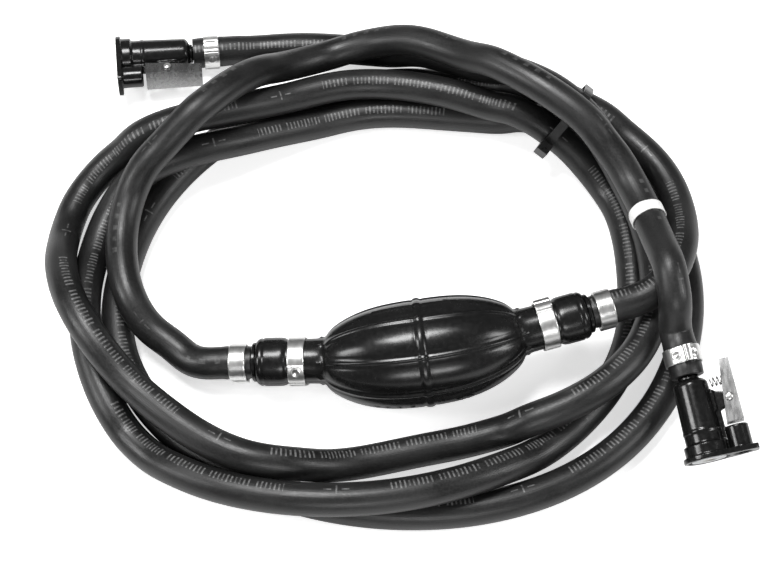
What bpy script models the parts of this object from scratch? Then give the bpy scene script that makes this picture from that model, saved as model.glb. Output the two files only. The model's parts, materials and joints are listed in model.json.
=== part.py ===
"""Coiled fuel line with a squeeze bulb: two rubber hoses, a primer bulb with its two check valves,
and a quick connector with a spring latch on each free end.

Lengths are millimetres until the meshes are written, which are in metres. +Z is up, the coil lies
on the plane z = 0, and the origin is under the middle of the whole object.
"""

import math

import bmesh
import bpy
import numpy as np
from mathutils import Matrix, Vector

MM = 0.001
GAP = 0.3
SHIFT = (-5.3, -6.4)

# Hose
HOSE_R = 8.0
BORE_R = 5.0
HOSE_SIDES = 8
BORE_SIDES = 6
RING_STEP = 20.0
RING_BOW = 0.3
HOSE_CLEAR = 17.0
FLOOR_Z = HOSE_R

# How the coil lies. A knot is (station, reach, layer): stations number the sixteenths of a turn,
# reach is how far the hose lies outside the mean oval, and where two strands cross, the one with
# the higher layer rides on the other.
OVAL_MID = (-3.0, 2.0)
OVAL_HALF = (144.5, 113.5)
STATIONS_PER_TURN = 16
FIRST_TURN = (
    (0, 8, 4), (1, 16, 1.6), (2, 10, 1.6), (3, 6, 1.5), (4, 0, 1), (6, -15, 1), (7, -19, 1),
    (8, -17, 1), (9, -7, 1), (10, 2, 1), (12, 15, 1), (14, 23, 1), (15, 19, 1),
)
SECOND_TURN = (
    (16, 14, 1), (17, 10, 1), (18, 5, 1.5), (19, -13, 1.5), (20, -18, 1.5), (22, -22, 1.6),
    (23, -4, 2), (24, 0, 2), (26, 19, 2), (28, 14, 2), (30, 0, 2), (31, -7, 2),
)
THIRD_TURN = (
    (32, -13, 2), (33, -9, 2.1), (34, -10, 2.5), (35, -12, 2.7), (36, -9, 2.9), (38, -8, 3),
    (39, 17, 3), (40, 13, 3), (42, 2, 3), (43, 3, 3), (44, -11, 3), (45, -14, 3), (46, -4, 3),
)
LAST_TURN = ((47, 0, 3.2), (48, -4, 3.4), (50, 0, 3.5), (51, 6, 3.3), (52, 21, 3))
TANK_LAY = (
    (-6.5, -29, 5), (-7, -23, 5), (-8, -18, 5), (-9, -14, 5), (-10, -16, 5), (-11, 1, 5),
    (-12, 15, 5), (-13, -3, 5), (-14, -12, 5), (-15, -10, 5), (-16, -7, 5),
)
SAMPLE_STEP = 8.0
LEAD = 26.0
LEAD_RING = 23
SETTLE_ROUNDS = 300
STIFFNESS = 4.0
WEIGHT = 0.8

# Primer bulb, on a gently bent axis
BULB_MID = (21.0, -52.0)
BULB_Z = 26.6
BULB_HEADING = 6.6
BULB_PITCH = 5.6
BULB_BEND = 15.5
BULB_HALF = 81.0
BULGE_HALF = 47.3
BULGE_R = 25.7
NECK_R = 11.0
COLLAR_R = 11.9
COLLAR_FROM = 65.8
BULB_WALL = 3.2
NECK_BORE_R = 8.35
BULB_SIDES = 24
BULB_INNER_SIDES = 12
RIB_RISE = 0.6
RIB_EVERY = 3
RIB_PHASE = 2
EQUATOR_HALF = 1.8
EQUATOR_RISE = 0.6

# Valve fittings in the bulb's ends; distances run outwards from the bulb's end face
FITTING_R = 7.65
FLANGE_R = 9.6
FLANGE_OUT = 2.4
STEM_R = 4.05
STEM_NECK_R = 3.6
STEM_OUT = 22.0
FLOW_R = 2.4
CHAMBER_R = 5.3
CHAMBER_DEEP = 6.0
FITTING_DEEP = 26.0
HOSE_START = 2.8
RING_DEEP = 20.5
RING_THICK = 2.0
RING_R = 4.8
RING_BORE_R = 2.0
POPPET_R = 4.5
POPPET_THICK = 1.6
POPPET_STEM_R = 1.2
POPPET_STEM = 8.0

# Springs
WIRE_R = 0.35
WIRE_SIDES = 4
TURN_STEPS = 6

# Clamps
BAND_WIDE = 8.0
BAND_THICK = 0.7
BAND_SIDES = 24
EAR_HALF_DEG = 20.0
EAR_RISE = 1.7
NECK_CLAMP_AT = 61.2
HOSE_CLAMP_AT = 90.5

# Quick connector; distances run back from its face, towards the hose
FACE_R = 12.0
FACE_THICK = 2.5
TAB_REACH = 24.0
TAB_HALF = 6.8
TAB_CORNER = 2.0
BASE_R = 10.5
BASE_BACK = 8.0
BARREL_R = 9.0
BARREL_END_R = 8.2
BARREL_BACK = 37.0
BODY_BACK = 39.0
CONNECTOR_NECK_R = 5.0
CONNECTOR_HOSE_START = 41.0
CONNECTOR_STEM_BACK = 61.0
CLAMP_BACK = 51.0
PORT_R = 3.5
INSERT_R = 8.3
INSERT_THICK = 3.0
GROOVE_R = 9.9
GROOVE_DEEP = 1.7
VALVE_CHAMBER_R = 5.1
VALVE_CHAMBER_BACK = 22.0
LATCH_OFFSET = 16.0
LATCH_R = 5.7
LATCH_BACK = 13.4
LATCH_BORE_R = 4.3
LATCH_BORE_DEEP = 11.0
WEB_HALF = 2.2
WEB_TOP = 11.0
PIVOT_BACK = 26.7
PIVOT_OUT = 16.4
PIVOT_R = 1.25
PIVOT_HOLE_R = 1.6
EAR_R = 2.9
LEVER_FROM = 15.0
LEVER_TO = 45.0
LEVER_OUT = 20.5
LEVER_HALF = 6.0
LEVER_EDGE_LATCH = 12.3
LEVER_EDGE_THUMB = 16.0
SHEET = 0.8
LATCH_SPRING_BACK = 35.8
ROUND_SIDES = 20

ENGINE_FACE = (-142.6, 129.6, 12.6)
ENGINE_YAW = 7.0
ENGINE_PITCH = -3.0
ENGINE_ROLL = 15.0
TANK_FACE = (155.8, -105.8, 22.0)
TANK_YAW = 12.0
TANK_PITCH = 12.0
TANK_ROLL = 15.0

# Cable tie and identity band
TIE_STATION = 34.0
TIE_WIDE = 4.6
TIE_THICK = 1.2
TIE_ROOM = 0.9
TIE_POINTS = 64
TIE_HEAD = (6.0, 7.5, 5.5)
TIE_REACH = 50.0
TIE_LIFT = 4.2
TIE_UNDER = 3.6
BAND_STATION = -15.65
ID_WIDE = 6.0
ID_THICK = 0.4

COLOURS = {
    "rubber": ((0.02, 0.02, 0.021), 0.5, 0.0),
    "bulb": ((0.012, 0.012, 0.013), 0.28, 0.0),
    "plastic": ((0.015, 0.015, 0.016), 0.35, 0.0),
    "steel": ((0.78, 0.78, 0.77), 0.25, 1.0),
    "brass": ((0.72, 0.55, 0.28), 0.3, 1.0),
    "white": ((0.9, 0.9, 0.9), 0.5, 0.0),
}


# ---------------------------------------------------------------- scene and meshes


def clear_scene():
    for thing in list(bpy.data.objects):
        bpy.data.objects.remove(thing, do_unlink=True)


def material(name, finish):
    """The object's own Principled material, in one of the finishes."""
    colour, roughness, metallic = COLOURS[finish]
    made = bpy.data.materials.new(name)
    made.use_nodes = True
    shader = made.node_tree.nodes["Principled BSDF"]
    shader.inputs["Base Color"].default_value = (*colour, 1.0)
    shader.inputs["Roughness"].default_value = roughness
    shader.inputs["Metallic"].default_value = metallic
    return made


def add_mesh(name, points, faces, finish=None):
    """Write points in millimetres as an object whose origin is the world's.

    A shape that only joins or cuts another one has no finish."""
    mesh = bpy.data.meshes.new(name)
    shifted = [((x + SHIFT[0]) * MM, (y + SHIFT[1]) * MM, z * MM) for x, y, z in points]
    mesh.from_pydata(shifted, [], faces)
    work = bmesh.new()
    work.from_mesh(mesh)
    bmesh.ops.remove_doubles(work, verts=work.verts, dist=1e-7)
    bmesh.ops.recalc_face_normals(work, faces=work.faces)
    work.to_mesh(mesh)
    work.free()
    if finish:
        mesh.materials.append(material(name, finish))
    mesh.shade_smooth()
    mesh.set_sharp_from_angle(angle=math.radians(35))
    made = bpy.data.objects.new(name, mesh)
    bpy.context.scene.collection.objects.link(made)
    return made


def combine(target, other, operation):
    """Join other to target, or cut it away, and drop other."""
    change = target.modifiers.new(operation.lower(), "BOOLEAN")
    change.operation = operation
    change.solver = "EXACT"
    change.object = other
    graph = bpy.context.evaluated_depsgraph_get()
    result = bpy.data.meshes.new_from_object(target.evaluated_get(graph))
    target.modifiers.clear()
    target.data = result
    bpy.data.objects.remove(other, do_unlink=True)
    return target


def loft(rings):
    """Points and side faces of equal-sized closed rings, joined in order."""
    count = len(rings[0])
    points = [tuple(p) for ring in rings for p in ring]
    faces = []
    for k in range(len(rings) - 1):
        for i in range(count):
            j = (i + 1) % count
            low, high = k * count, (k + 1) * count
            faces.append((low + i, low + j, high + j, high + i))
    return points, faces


def capped_loft(rings):
    points, faces = loft(rings)
    count = len(rings[0])
    last = len(points) - count
    faces.append(tuple(reversed(range(count))))
    faces.append(tuple(range(last, last + count)))
    return points, faces


def pipe(outer, inner):
    """An open-ended pipe from its outer and inner rings, with flat ring ends."""
    points_out, faces_out = loft(outer)
    points_in, faces_in = loft(inner)
    start = len(points_out)
    faces = faces_out + [tuple(start + i for i in reversed(face)) for face in faces_in]
    for at_out, at_in, turn in (
        (0, start, True),
        (start - len(outer[0]), start + len(points_in) - len(inner[0]), False),
    ):
        faces += ring_cap(len(outer[0]), len(inner[0]), at_out, at_in, turn)
    return points_out + points_in, faces


def ring_cap(n_out, n_in, at_out, at_in, turn):
    """Triangles that close the flat ring between two circles of different point counts."""
    faces = []
    i = j = 0
    while i < n_out or j < n_in:
        if i * n_in <= j * n_out and i < n_out:
            face = (at_out + i, at_out + (i + 1) % n_out, at_in + j % n_in)
            i += 1
        else:
            face = (at_out + i % n_out, at_in + (j + 1) % n_in, at_in + j)
            j += 1
        faces.append(tuple(reversed(face)) if turn else face)
    return faces


# ---------------------------------------------------------------- frames and simple shapes


class Frame:
    """A right-handed frame: x runs along a piece's axis, y and z across it."""

    def __init__(self, origin, along, across):
        self.o = np.array(origin, float)
        self.x = unit(along)
        across = np.array(across, float)
        self.y = unit(across - self.x * across.dot(self.x))
        self.z = np.cross(self.x, self.y)

    def at(self, x, y, z):
        return self.o + self.x * x + self.y * y + self.z * z


def unit(v):
    v = np.array(v, float)
    return v / np.linalg.norm(v)


def circle(frame, x, radius, sides, y=0.0, z=0.0, turn=0.5):
    """A ring of points round the frame's x axis, or round a line beside it."""
    ring = []
    for k in range(sides):
        angle = math.tau * (k + turn) / sides
        ring.append(frame.at(x, y + radius * math.cos(angle), z + radius * math.sin(angle)))
    return ring


def turned(name, frame, profile, finish, sides=ROUND_SIDES, y=0.0):
    """A solid turned part: profile is (distance along the axis, radius), end to end."""
    rings = [circle(frame, x, r, sides, y) for x, r in profile]
    return add_mesh(name, *capped_loft(rings), finish)


def turned_pipe(name, frame, outer, inner, finish, sides=ROUND_SIDES):
    """A turned part with a through bore: outer and inner profiles share their end distances."""
    rings_out = [circle(frame, x, r, sides) for x, r in outer]
    rings_in = [circle(frame, x, r, sides) for x, r in inner]
    return add_mesh(name, *pipe(rings_out, rings_in), finish)


def slab(name, frame, outline, low, high, finish):
    """An outline in the frame's x-y plane, extruded along z from low to high."""
    rings = [[frame.at(x, y, z) for x, y in outline] for z in (low, high)]
    return add_mesh(name, *capped_loft(rings), finish)


def plate(name, frame, outline, low, high, finish):
    """An outline in the frame's y-z plane, extruded along x from low to high."""
    rings = [[frame.at(x, y, z) for y, z in outline] for x in (low, high)]
    return add_mesh(name, *capped_loft(rings), finish)


def cross_rod(name, frame, x, y, radius, half, sides=16):
    """A round cutter along the frame's z axis."""
    rings = []
    for z in (-half, half):
        angles = [math.tau * (k + 0.5) / sides for k in range(sides)]
        rings.append([frame.at(x + radius * math.cos(a), y + radius * math.sin(a), z) for a in angles])
    return add_mesh(name, *capped_loft(rings))


def hull(points):
    """The convex outline of points in a plane, anticlockwise."""
    points = sorted(set((round(a, 4), round(b, 4)) for a, b in points))

    def half(run):
        kept = []
        for p in run:
            while len(kept) > 1 and turn_of(kept[-2], kept[-1], p) <= 0:
                kept.pop()
            kept.append(p)
        return kept[:-1]

    return half(points) + half(reversed(points))


def turn_of(a, b, c):
    return (b[0] - a[0]) * (c[1] - a[1]) - (b[1] - a[1]) * (c[0] - a[0])


def arc(mid, radius, start, stop, steps):
    angles = np.radians(np.linspace(start, stop, steps + 1))
    return [(mid[0] + radius * math.cos(a), mid[1] + radius * math.sin(a)) for a in angles]


def coil_spring(name, frame, start, stop, radius, turns, y=0.0, z=0.0, along="x"):
    """A round wire wound from start to stop along the frame's x axis, or along y."""
    steps = int(turns * TURN_STEPS)
    rings = []
    for k in range(steps + 1):
        share = k / steps
        angle = math.tau * turns * share
        centre = (start + (stop - start) * share, angle)
        ring = []
        for m in range(WIRE_SIDES):
            side = math.tau * m / WIRE_SIDES
            reach = radius + WIRE_R * math.cos(side)
            run = centre[0] + WIRE_R * math.sin(side)
            a, b = reach * math.cos(angle), reach * math.sin(angle)
            ring.append(frame.at(run, y + a, z + b) if along == "x" else frame.at(y + a, run, z + b))
        rings.append(ring)
    return add_mesh(name, *capped_loft(rings), "steel")


# ---------------------------------------------------------------- hoses


def oval_point(station, reach):
    angle = math.tau * station / STATIONS_PER_TURN
    return (
        OVAL_MID[0] + (OVAL_HALF[0] + reach) * math.cos(angle),
        OVAL_MID[1] + (OVAL_HALF[1] + reach) * math.sin(angle),
    )


def spline(points, step):
    """A natural cubic curve through the points, sampled at about step apart.

    Also gives each sample's place in the list of points, as a number with a fraction."""
    points = np.array(points, float)
    knots = np.r_[0, np.cumsum(np.linalg.norm(np.diff(points[:, :2], axis=0), axis=1))]
    gaps = np.diff(knots)
    count = len(points)
    system = np.eye(count)
    right = np.zeros_like(points)
    for k in range(1, count - 1):
        system[k, k - 1 : k + 2] = gaps[k - 1], 2 * (gaps[k - 1] + gaps[k]), gaps[k]
        rise = (points[k + 1] - points[k]) / gaps[k]
        before = (points[k] - points[k - 1]) / gaps[k - 1]
        right[k] = 6 * (rise - before)
    bend = np.linalg.solve(system, right)
    places = np.linspace(0, knots[-1], int(round(knots[-1] / step)) + 1)
    which = np.clip(np.searchsorted(knots, places, side="right") - 1, 0, count - 2)
    h = gaps[which][:, None]
    a = (knots[which + 1] - places)[:, None]
    b = (places - knots[which])[:, None]
    curve = (
        bend[which] * a**3 / (6 * h)
        + bend[which + 1] * b**3 / (6 * h)
        + (points[which] / h - bend[which] * h / 6) * a
        + (points[which + 1] / h - bend[which + 1] * h / 6) * b
    )
    return curve, which + (b / h)[:, 0]


def bending(count):
    """The matrix that charges a hose for every change of slope."""
    rows = np.zeros((count - 2, count))
    for k in range(count - 2):
        rows[k, k : k + 3] = 1, -2, 1
    return rows.T @ rows


def settle(plans, layers, held, tie):
    """Let the hoses sag to the floor, with each strand clear above the ones it crosses.

    The upper hose also clears the band of the tie, near the point tie."""
    plan = np.vstack(plans)
    layer = np.concatenate(layers)
    owner = np.concatenate([np.full(len(p), k) for k, p in enumerate(plans)])
    count = len(plan)
    apart = np.linalg.norm(plan[:, None] - plan[None], axis=2)
    order = np.arange(count)
    beside = (owner[:, None] == owner[None]) & (abs(order[:, None] - order[None]) < 12)
    above = (apart < HOSE_CLEAR) & ~beside & (layer[:, None] > layer[None])
    over_tie = (owner == 1) & (np.linalg.norm(plan - tie, axis=1) < TIE_REACH)
    lift = np.where(over_tie, TIE_LIFT, 0)[:, None]
    rise = np.where(above, np.sqrt(np.maximum(HOSE_CLEAR**2 - apart**2, 0)) + lift, -1e6)
    stiff = np.eye(count)
    for k in range(len(plans)):
        own = np.where(owner == k)[0]
        stiff[np.ix_(own, own)] += STIFFNESS * bending(len(own))
    smooth = np.linalg.inv(stiff)
    fixed = ~np.isnan(held)
    on_tie = (owner == 0) & (np.linalg.norm(plan - tie, axis=1) < TIE_REACH / 2)
    ground = np.where(on_tie, FLOOR_Z + TIE_UNDER, FLOOR_Z)
    height = ground
    for _ in range(SETTLE_ROUNDS):
        height = np.maximum(smooth @ (height - WEIGHT), ground)
        height[fixed] = held[fixed]
        for _ in range(5):
            height = np.maximum(height, (height[None] + rise).max(1))
    return np.split(height, [len(plans[0])])


def hose_rings(path, radius, sides):
    """Level rings round a path, which never runs straight up."""
    slope = np.gradient(path, axis=0)
    rings = []
    for point, along in zip(path, slope):
        frame = Frame(point, along, np.cross((0, 0, 1), along))
        rings.append(circle(frame, 0, radius, sides))
    return rings


def spaced(path, step):
    """The path again with evenly spaced points and true ends."""
    run = np.r_[0, np.cumsum(np.linalg.norm(np.diff(path, axis=0), axis=1))]
    places = np.linspace(0, run[-1], int(round(run[-1] / step)) + 1)
    return np.array([np.interp(places, run, path[:, k]) for k in range(3)]).T


def bow(points):
    """How far the points bow away from the chord between the first and the last."""
    chord = unit(points[-1] - points[0])
    offset = points - points[0]
    return np.linalg.norm(offset - np.outer(offset @ chord, chord), axis=1).max()


def thinned(path):
    """The fewest rings that keep a hose's facets close to its curve, and both leads straight."""
    fine = spaced(path, 1.0)
    first, last = LEAD_RING, len(fine) - 1 - LEAD_RING
    kept = [0, first]
    for k in range(first + 2, last + 1):
        if bow(fine[kept[-1] : k + 1]) > RING_BOW or k - kept[-1] > RING_STEP:
            kept.append(k - 1)
    return fine[[*kept, last, len(fine) - 1]]


def hose(name, path):
    path = thinned(path)
    outer = hose_rings(path, HOSE_R, HOSE_SIDES)
    inner = hose_rings(path, BORE_R, BORE_SIDES)
    return add_mesh(name, *pipe(outer, inner), "rubber")


def lead(frame, start, length, count=3):
    """Points along a frame's axis where a hose is held straight on its stem."""
    return [frame.at(start + length * k / (count - 1), 0, 0) for k in range(count)]


def run_of(start, knots, stop):
    """The points that a hose passes through, with each one's layer and station."""
    points = [*start, *[(*oval_point(station, reach), 0) for station, reach, _ in knots], *stop]
    first, last = knots[0], knots[-1]
    rows = [first] * len(start) + list(knots) + [last] * len(stop)
    return points, [row[2] for row in rows], [row[0] for row in rows]


def lay_hoses(inlet, outlet, engine, tank):
    """The centre lines of both hoses, from the bulb to their connectors, and their stations."""
    engine_knots = (*FIRST_TURN, *SECOND_TURN, *THIRD_TURN, *LAST_TURN)
    plans, layers, held, stations = [], [], [], []
    for end, knots, plug in ((outlet, engine_knots, engine), (inlet, TANK_LAY, tank)):
        stop = lead(plug, CONNECTOR_HOSE_START, LEAD)[::-1]
        run, ranks, marks = run_of(lead(end, HOSE_START, LEAD), knots, stop)
        curve, place = spline(run, SAMPLE_STEP)
        straight = np.array([np.interp(place, range(len(run)), axis) for axis in zip(*run)]).T
        ends = (place <= 2) | (place >= len(run) - 3)
        curve[ends] = straight[ends]
        plans.append(curve[:, :2])
        layers.append(np.interp(place, range(len(run)), ranks))
        stations.append(np.interp(place, range(len(run)), marks))
        held.append(np.where(ends, straight[:, 2], np.nan))
    tie = plans[0][int(np.argmin(abs(stations[0] - TIE_STATION)))]
    heights = settle(plans, layers, np.concatenate(held), tie)
    paths = [np.c_[plan, z] for plan, z in zip(plans, heights)]
    return paths, stations


# ---------------------------------------------------------------- bulb and valves


def bulb_frame(s):
    """The frame on the bulb's axis at distance s from its middle: bent between straight necks."""
    radius = 2 * BULGE_HALF / math.radians(BULB_BEND)
    bent = max(-BULGE_HALF, min(BULGE_HALF, s))
    turn = bent / radius
    middle = math.radians(BULB_HEADING)
    pitch = math.radians(BULB_PITCH)
    level = math.cos(pitch)
    along_mid = np.array((math.cos(middle) * level, math.sin(middle) * level, math.sin(pitch)))
    side_mid = np.array((-math.sin(middle), math.cos(middle), 0))
    along = along_mid * math.cos(turn) + side_mid * math.sin(turn)
    origin = np.array((*BULB_MID, BULB_Z)) + along * (s - bent)
    origin = origin + along_mid * radius * math.sin(turn) + side_mid * radius * (1 - math.cos(turn))
    return Frame(origin, along, np.cross((0, 0, 1), along))


def end_frame(sign):
    """The frame at one end of the bulb, with x pointing away from the bulb."""
    frame = bulb_frame(sign * BULB_HALF)
    return Frame(frame.o, frame.x * sign, frame.y)


def bulb_radius(s):
    s = abs(s)
    if s >= COLLAR_FROM:
        share = (s - COLLAR_FROM) / (BULB_HALF - COLLAR_FROM)
        return COLLAR_R - 1.4 * abs(2 * share - 1) ** 6
    if s >= BULGE_HALF:
        return NECK_R
    return NECK_R + (BULGE_R - NECK_R) * (1 - (s / BULGE_HALF) ** 2.6) ** 0.8


def bulb():
    """A hollow moulded bulb with eight long ribs, a ring at its middle and open necks."""
    half = [0, EQUATOR_HALF, EQUATOR_HALF + 0.6, 9, 17, 25, 31, 36, 40, 43.5, 46, BULGE_HALF]
    half += [57, COLLAR_FROM - 0.4, COLLAR_FROM, 68, 73, 78, BULB_HALF]
    outer = []
    for s in [-v for v in reversed(half)] + half[1:]:
        frame = bulb_frame(s)
        base = bulb_radius(s) + (EQUATOR_RISE if abs(s) <= EQUATOR_HALF else 0)
        ring = []
        for k in range(BULB_SIDES):
            angle = math.tau * k / BULB_SIDES
            rib = RIB_RISE if k % RIB_EVERY == RIB_PHASE and abs(s) < BULGE_HALF else 0
            r = base + rib
            ring.append(frame.at(0, r * math.cos(angle), r * math.sin(angle)))
        outer.append(ring)
    inner = []
    for s in (-BULB_HALF, -BULGE_HALF, -42, -35, -24, 0, 24, 35, 42, BULGE_HALF, BULB_HALF):
        r = max(NECK_BORE_R, bulb_radius(s) - BULB_WALL) if abs(s) < BULGE_HALF else NECK_BORE_R
        inner.append(circle(bulb_frame(s), 0, r, BULB_INNER_SIDES))
    return add_mesh("primer_bulb", *pipe(outer, inner), "bulb")


def valve(name, frame, poppet_deep, stem_way, ring_name):
    """A hose fitting with a sprung poppet in its chamber, and the ring that closes the chamber."""
    barbs = []
    for k in range(3):
        x = HOSE_START + 2.5 + 5.5 * k
        barbs += [(x, STEM_NECK_R), (x + 4.5, STEM_R), (x + 4.7, STEM_NECK_R)]
    outer = [
        (-FITTING_DEEP, FITTING_R),
        (GAP, FITTING_R),
        (GAP, FLANGE_R),
        (FLANGE_OUT, FLANGE_R),
        (FLANGE_OUT, STEM_NECK_R),
        *barbs,
        (STEM_OUT, STEM_NECK_R),
    ]
    inner = [
        (-FITTING_DEEP, CHAMBER_R),
        (-CHAMBER_DEEP, CHAMBER_R),
        (-CHAMBER_DEEP, FLOW_R),
        (STEM_OUT, FLOW_R),
    ]
    turned_pipe(f"{name}_fitting", frame, outer, inner, "plastic", sides=16)
    ring = [(-RING_DEEP - RING_THICK, RING_R), (-RING_DEEP, RING_R)]
    hole = [(x, RING_BORE_R) for x, _ in ring]
    turned_pipe(ring_name, frame, ring, hole, "brass")
    back = poppet_deep + stem_way * POPPET_THICK
    tip = back + stem_way * POPPET_STEM
    profile = [(poppet_deep, POPPET_R), (back, POPPET_R), (back, POPPET_STEM_R), (tip, POPPET_STEM_R)]
    turned(f"{name}_poppet", frame, profile, "plastic")
    far = -RING_DEEP + GAP if stem_way < 0 else -CHAMBER_DEEP - GAP
    start = back + stem_way * (GAP + WIRE_R)
    stop = far - stem_way * WIRE_R
    coil_spring(f"{name}_spring", frame, start, stop, 3.4, 5)


def bulb_group():
    bulb()
    inlet, outlet = end_frame(-1), end_frame(1)
    valve("inlet", inlet, -CHAMBER_DEEP - GAP, -1, "inlet_retainer")
    valve("outlet", outlet, -RING_DEEP + GAP, 1, "outlet_seat")
    return inlet, outlet


# ---------------------------------------------------------------- clamps, tie and band


def clamp(name, frame, radius, ear_deg):
    """A crimped band: a flat ring whose ear stands off the hose at one place."""
    outer, inner = [], []
    for k in range(BAND_SIDES):
        angle = 360 * k / BAND_SIDES
        off = abs((angle - ear_deg + 180) % 360 - 180)
        lift = EAR_RISE * max(0, math.cos(math.radians(90 * off / EAR_HALF_DEG))) if off < EAR_HALF_DEG else 0
        for loop, r in ((outer, radius + BAND_THICK + lift), (inner, radius + 0.7 * lift)):
            a = math.radians(angle)
            loop.append((r * math.cos(a), r * math.sin(a)))
    ends = (-BAND_WIDE / 2, BAND_WIDE / 2)
    rings_out = [[frame.at(x, y, z) for y, z in outer] for x in ends]
    rings_in = [[frame.at(x, y, z) for y, z in inner] for x in ends]
    return add_mesh(name, *pipe(rings_out, rings_in), "steel")


def clamps(inlet, outlet, engine, tank):
    hose_r = HOSE_R + GAP + 0.1
    neck_r = NECK_R + GAP + 0.1
    for name, sign, ear in (("inlet", -1, -110), ("outlet", 1, 60)):
        neck = bulb_frame(sign * NECK_CLAMP_AT)
        clamp(f"{name}_neck_clamp", neck, neck_r, ear)
    beyond = HOSE_CLAMP_AT - BULB_HALF
    clamp("inlet_hose_clamp", Frame(inlet.at(beyond, 0, 0), -inlet.x, inlet.y), hose_r, -120)
    clamp("outlet_hose_clamp", Frame(outlet.at(beyond, 0, 0), outlet.x, outlet.y), hose_r, -120)
    for name, frame in (("engine", engine), ("tank", tank)):
        clamp(f"{name}_hose_clamp", Frame(frame.at(CLAMP_BACK, 0, 0), frame.x, frame.y), hose_r, -70)


def at_station(path, stations, wanted):
    """The frame on a hose's path at a station."""
    k = int(np.argmin(abs(stations - wanted)))
    along = path[k + 1] - path[k - 1]
    return Frame(path[k], along, np.cross((0, 0, 1), along))


def tie_outline(path, frame, room):
    """The outline round every strand of the hose that passes through the tie's plane."""
    fine = spaced(path, 1.0)
    fine = fine[np.linalg.norm(fine - frame.o, axis=1) < 60]
    points = []
    for ring in hose_rings(fine, HOSE_R + room, 24):
        for offset in np.array(ring) - frame.o:
            if abs(offset @ frame.x) < TIE_WIDE / 2 + 1:
                points.append((offset @ frame.y, offset @ frame.z))
    return hull(points)


def evened(outline, count):
    """The closed outline again with count evenly spaced points."""
    loop = np.array([*outline, outline[0]])
    run = np.r_[0, np.cumsum(np.linalg.norm(np.diff(loop, axis=0), axis=1))]
    places = np.linspace(0, run[-1], count, endpoint=False)
    return [(np.interp(p, run, loop[:, 0]), np.interp(p, run, loop[:, 1])) for p in places]


def cable_tie(path, stations):
    frame = at_station(path, stations, TIE_STATION)
    inner = evened(tie_outline(path, frame, TIE_ROOM), TIE_POINTS)
    middle = np.mean(inner, axis=0)
    outer = []
    for k, p in enumerate(inner):
        edge = np.subtract(inner[(k + 1) % TIE_POINTS], inner[k - 1])
        normal = unit((edge[1], -edge[0]))
        outer.append(tuple(np.add(p, normal * TIE_THICK)))
    ends = (-TIE_WIDE / 2, TIE_WIDE / 2)
    rings = [[[frame.at(x, y, z) for y, z in loop] for x in ends] for loop in (outer, inner)]
    made = add_mesh("cable_tie", *pipe(*rings), "plastic")
    side = max(outer, key=lambda p: p[0] + 0.2 * p[1])
    out = unit(np.subtract(side, middle))
    up = (-out[1], out[0])
    deep, tall, wide = TIE_HEAD
    corner = np.array(side) - out * 0.6
    box = [
        corner + np.array(up) * tall * a + out * deep * b for a, b in ((-0.5, 0), (0.5, 0), (0.5, 1), (-0.5, 1))
    ]
    head = plate("tie_head", frame, [tuple(p) for p in box], -wide / 2 - 0.3, wide / 2 + 0.3, None)
    combine(made, head, "UNION")
    return made


def id_band(path, stations):
    frame = at_station(path, stations, BAND_STATION)
    inner = [circle(frame, x, HOSE_R + GAP + 0.1, ROUND_SIDES) for x in (-ID_WIDE / 2, ID_WIDE / 2)]
    outer = [circle(frame, x, HOSE_R + GAP + 0.1 + ID_THICK, ROUND_SIDES) for x in (-ID_WIDE / 2, ID_WIDE / 2)]
    return add_mesh("id_band", *pipe(outer, inner), "white")


# ---------------------------------------------------------------- quick connectors


def connector_frame(face, yaw, pitch, roll, heading):
    """The frame at a connector's face: x runs back to the hose, y out to the latch, z downwards."""
    level = math.radians(heading + yaw)
    rise = math.radians(pitch)
    back = (math.cos(level) * math.cos(rise), math.sin(level) * math.cos(rise), math.sin(rise))
    side = np.array((math.sin(level), -math.cos(level), 0))
    up = np.cross(side, back)
    lean = math.radians(roll)
    return Frame(face, back, side * math.cos(lean) + up * math.sin(lean))


def face_outline():
    corner = TAB_REACH - TAB_CORNER
    points = arc((0, 0), FACE_R, 0, 345, 23)
    for side in (1, -1):
        points += arc((corner, side * (TAB_HALF - TAB_CORNER)), TAB_CORNER, 0, 90 * side, 4)
    return hull(points)


def web_outline():
    ear = arc((PIVOT_BACK, PIVOT_OUT), EAR_R, 0, 180, 8)
    return [
        (FACE_THICK - 0.5, 0),
        (33.5, 0),
        (33.0, 8.0),
        (31.0, WEB_TOP),
        *ear,
        (21.5, WEB_TOP),
        (FACE_THICK - 0.5, WEB_TOP),
    ]


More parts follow.
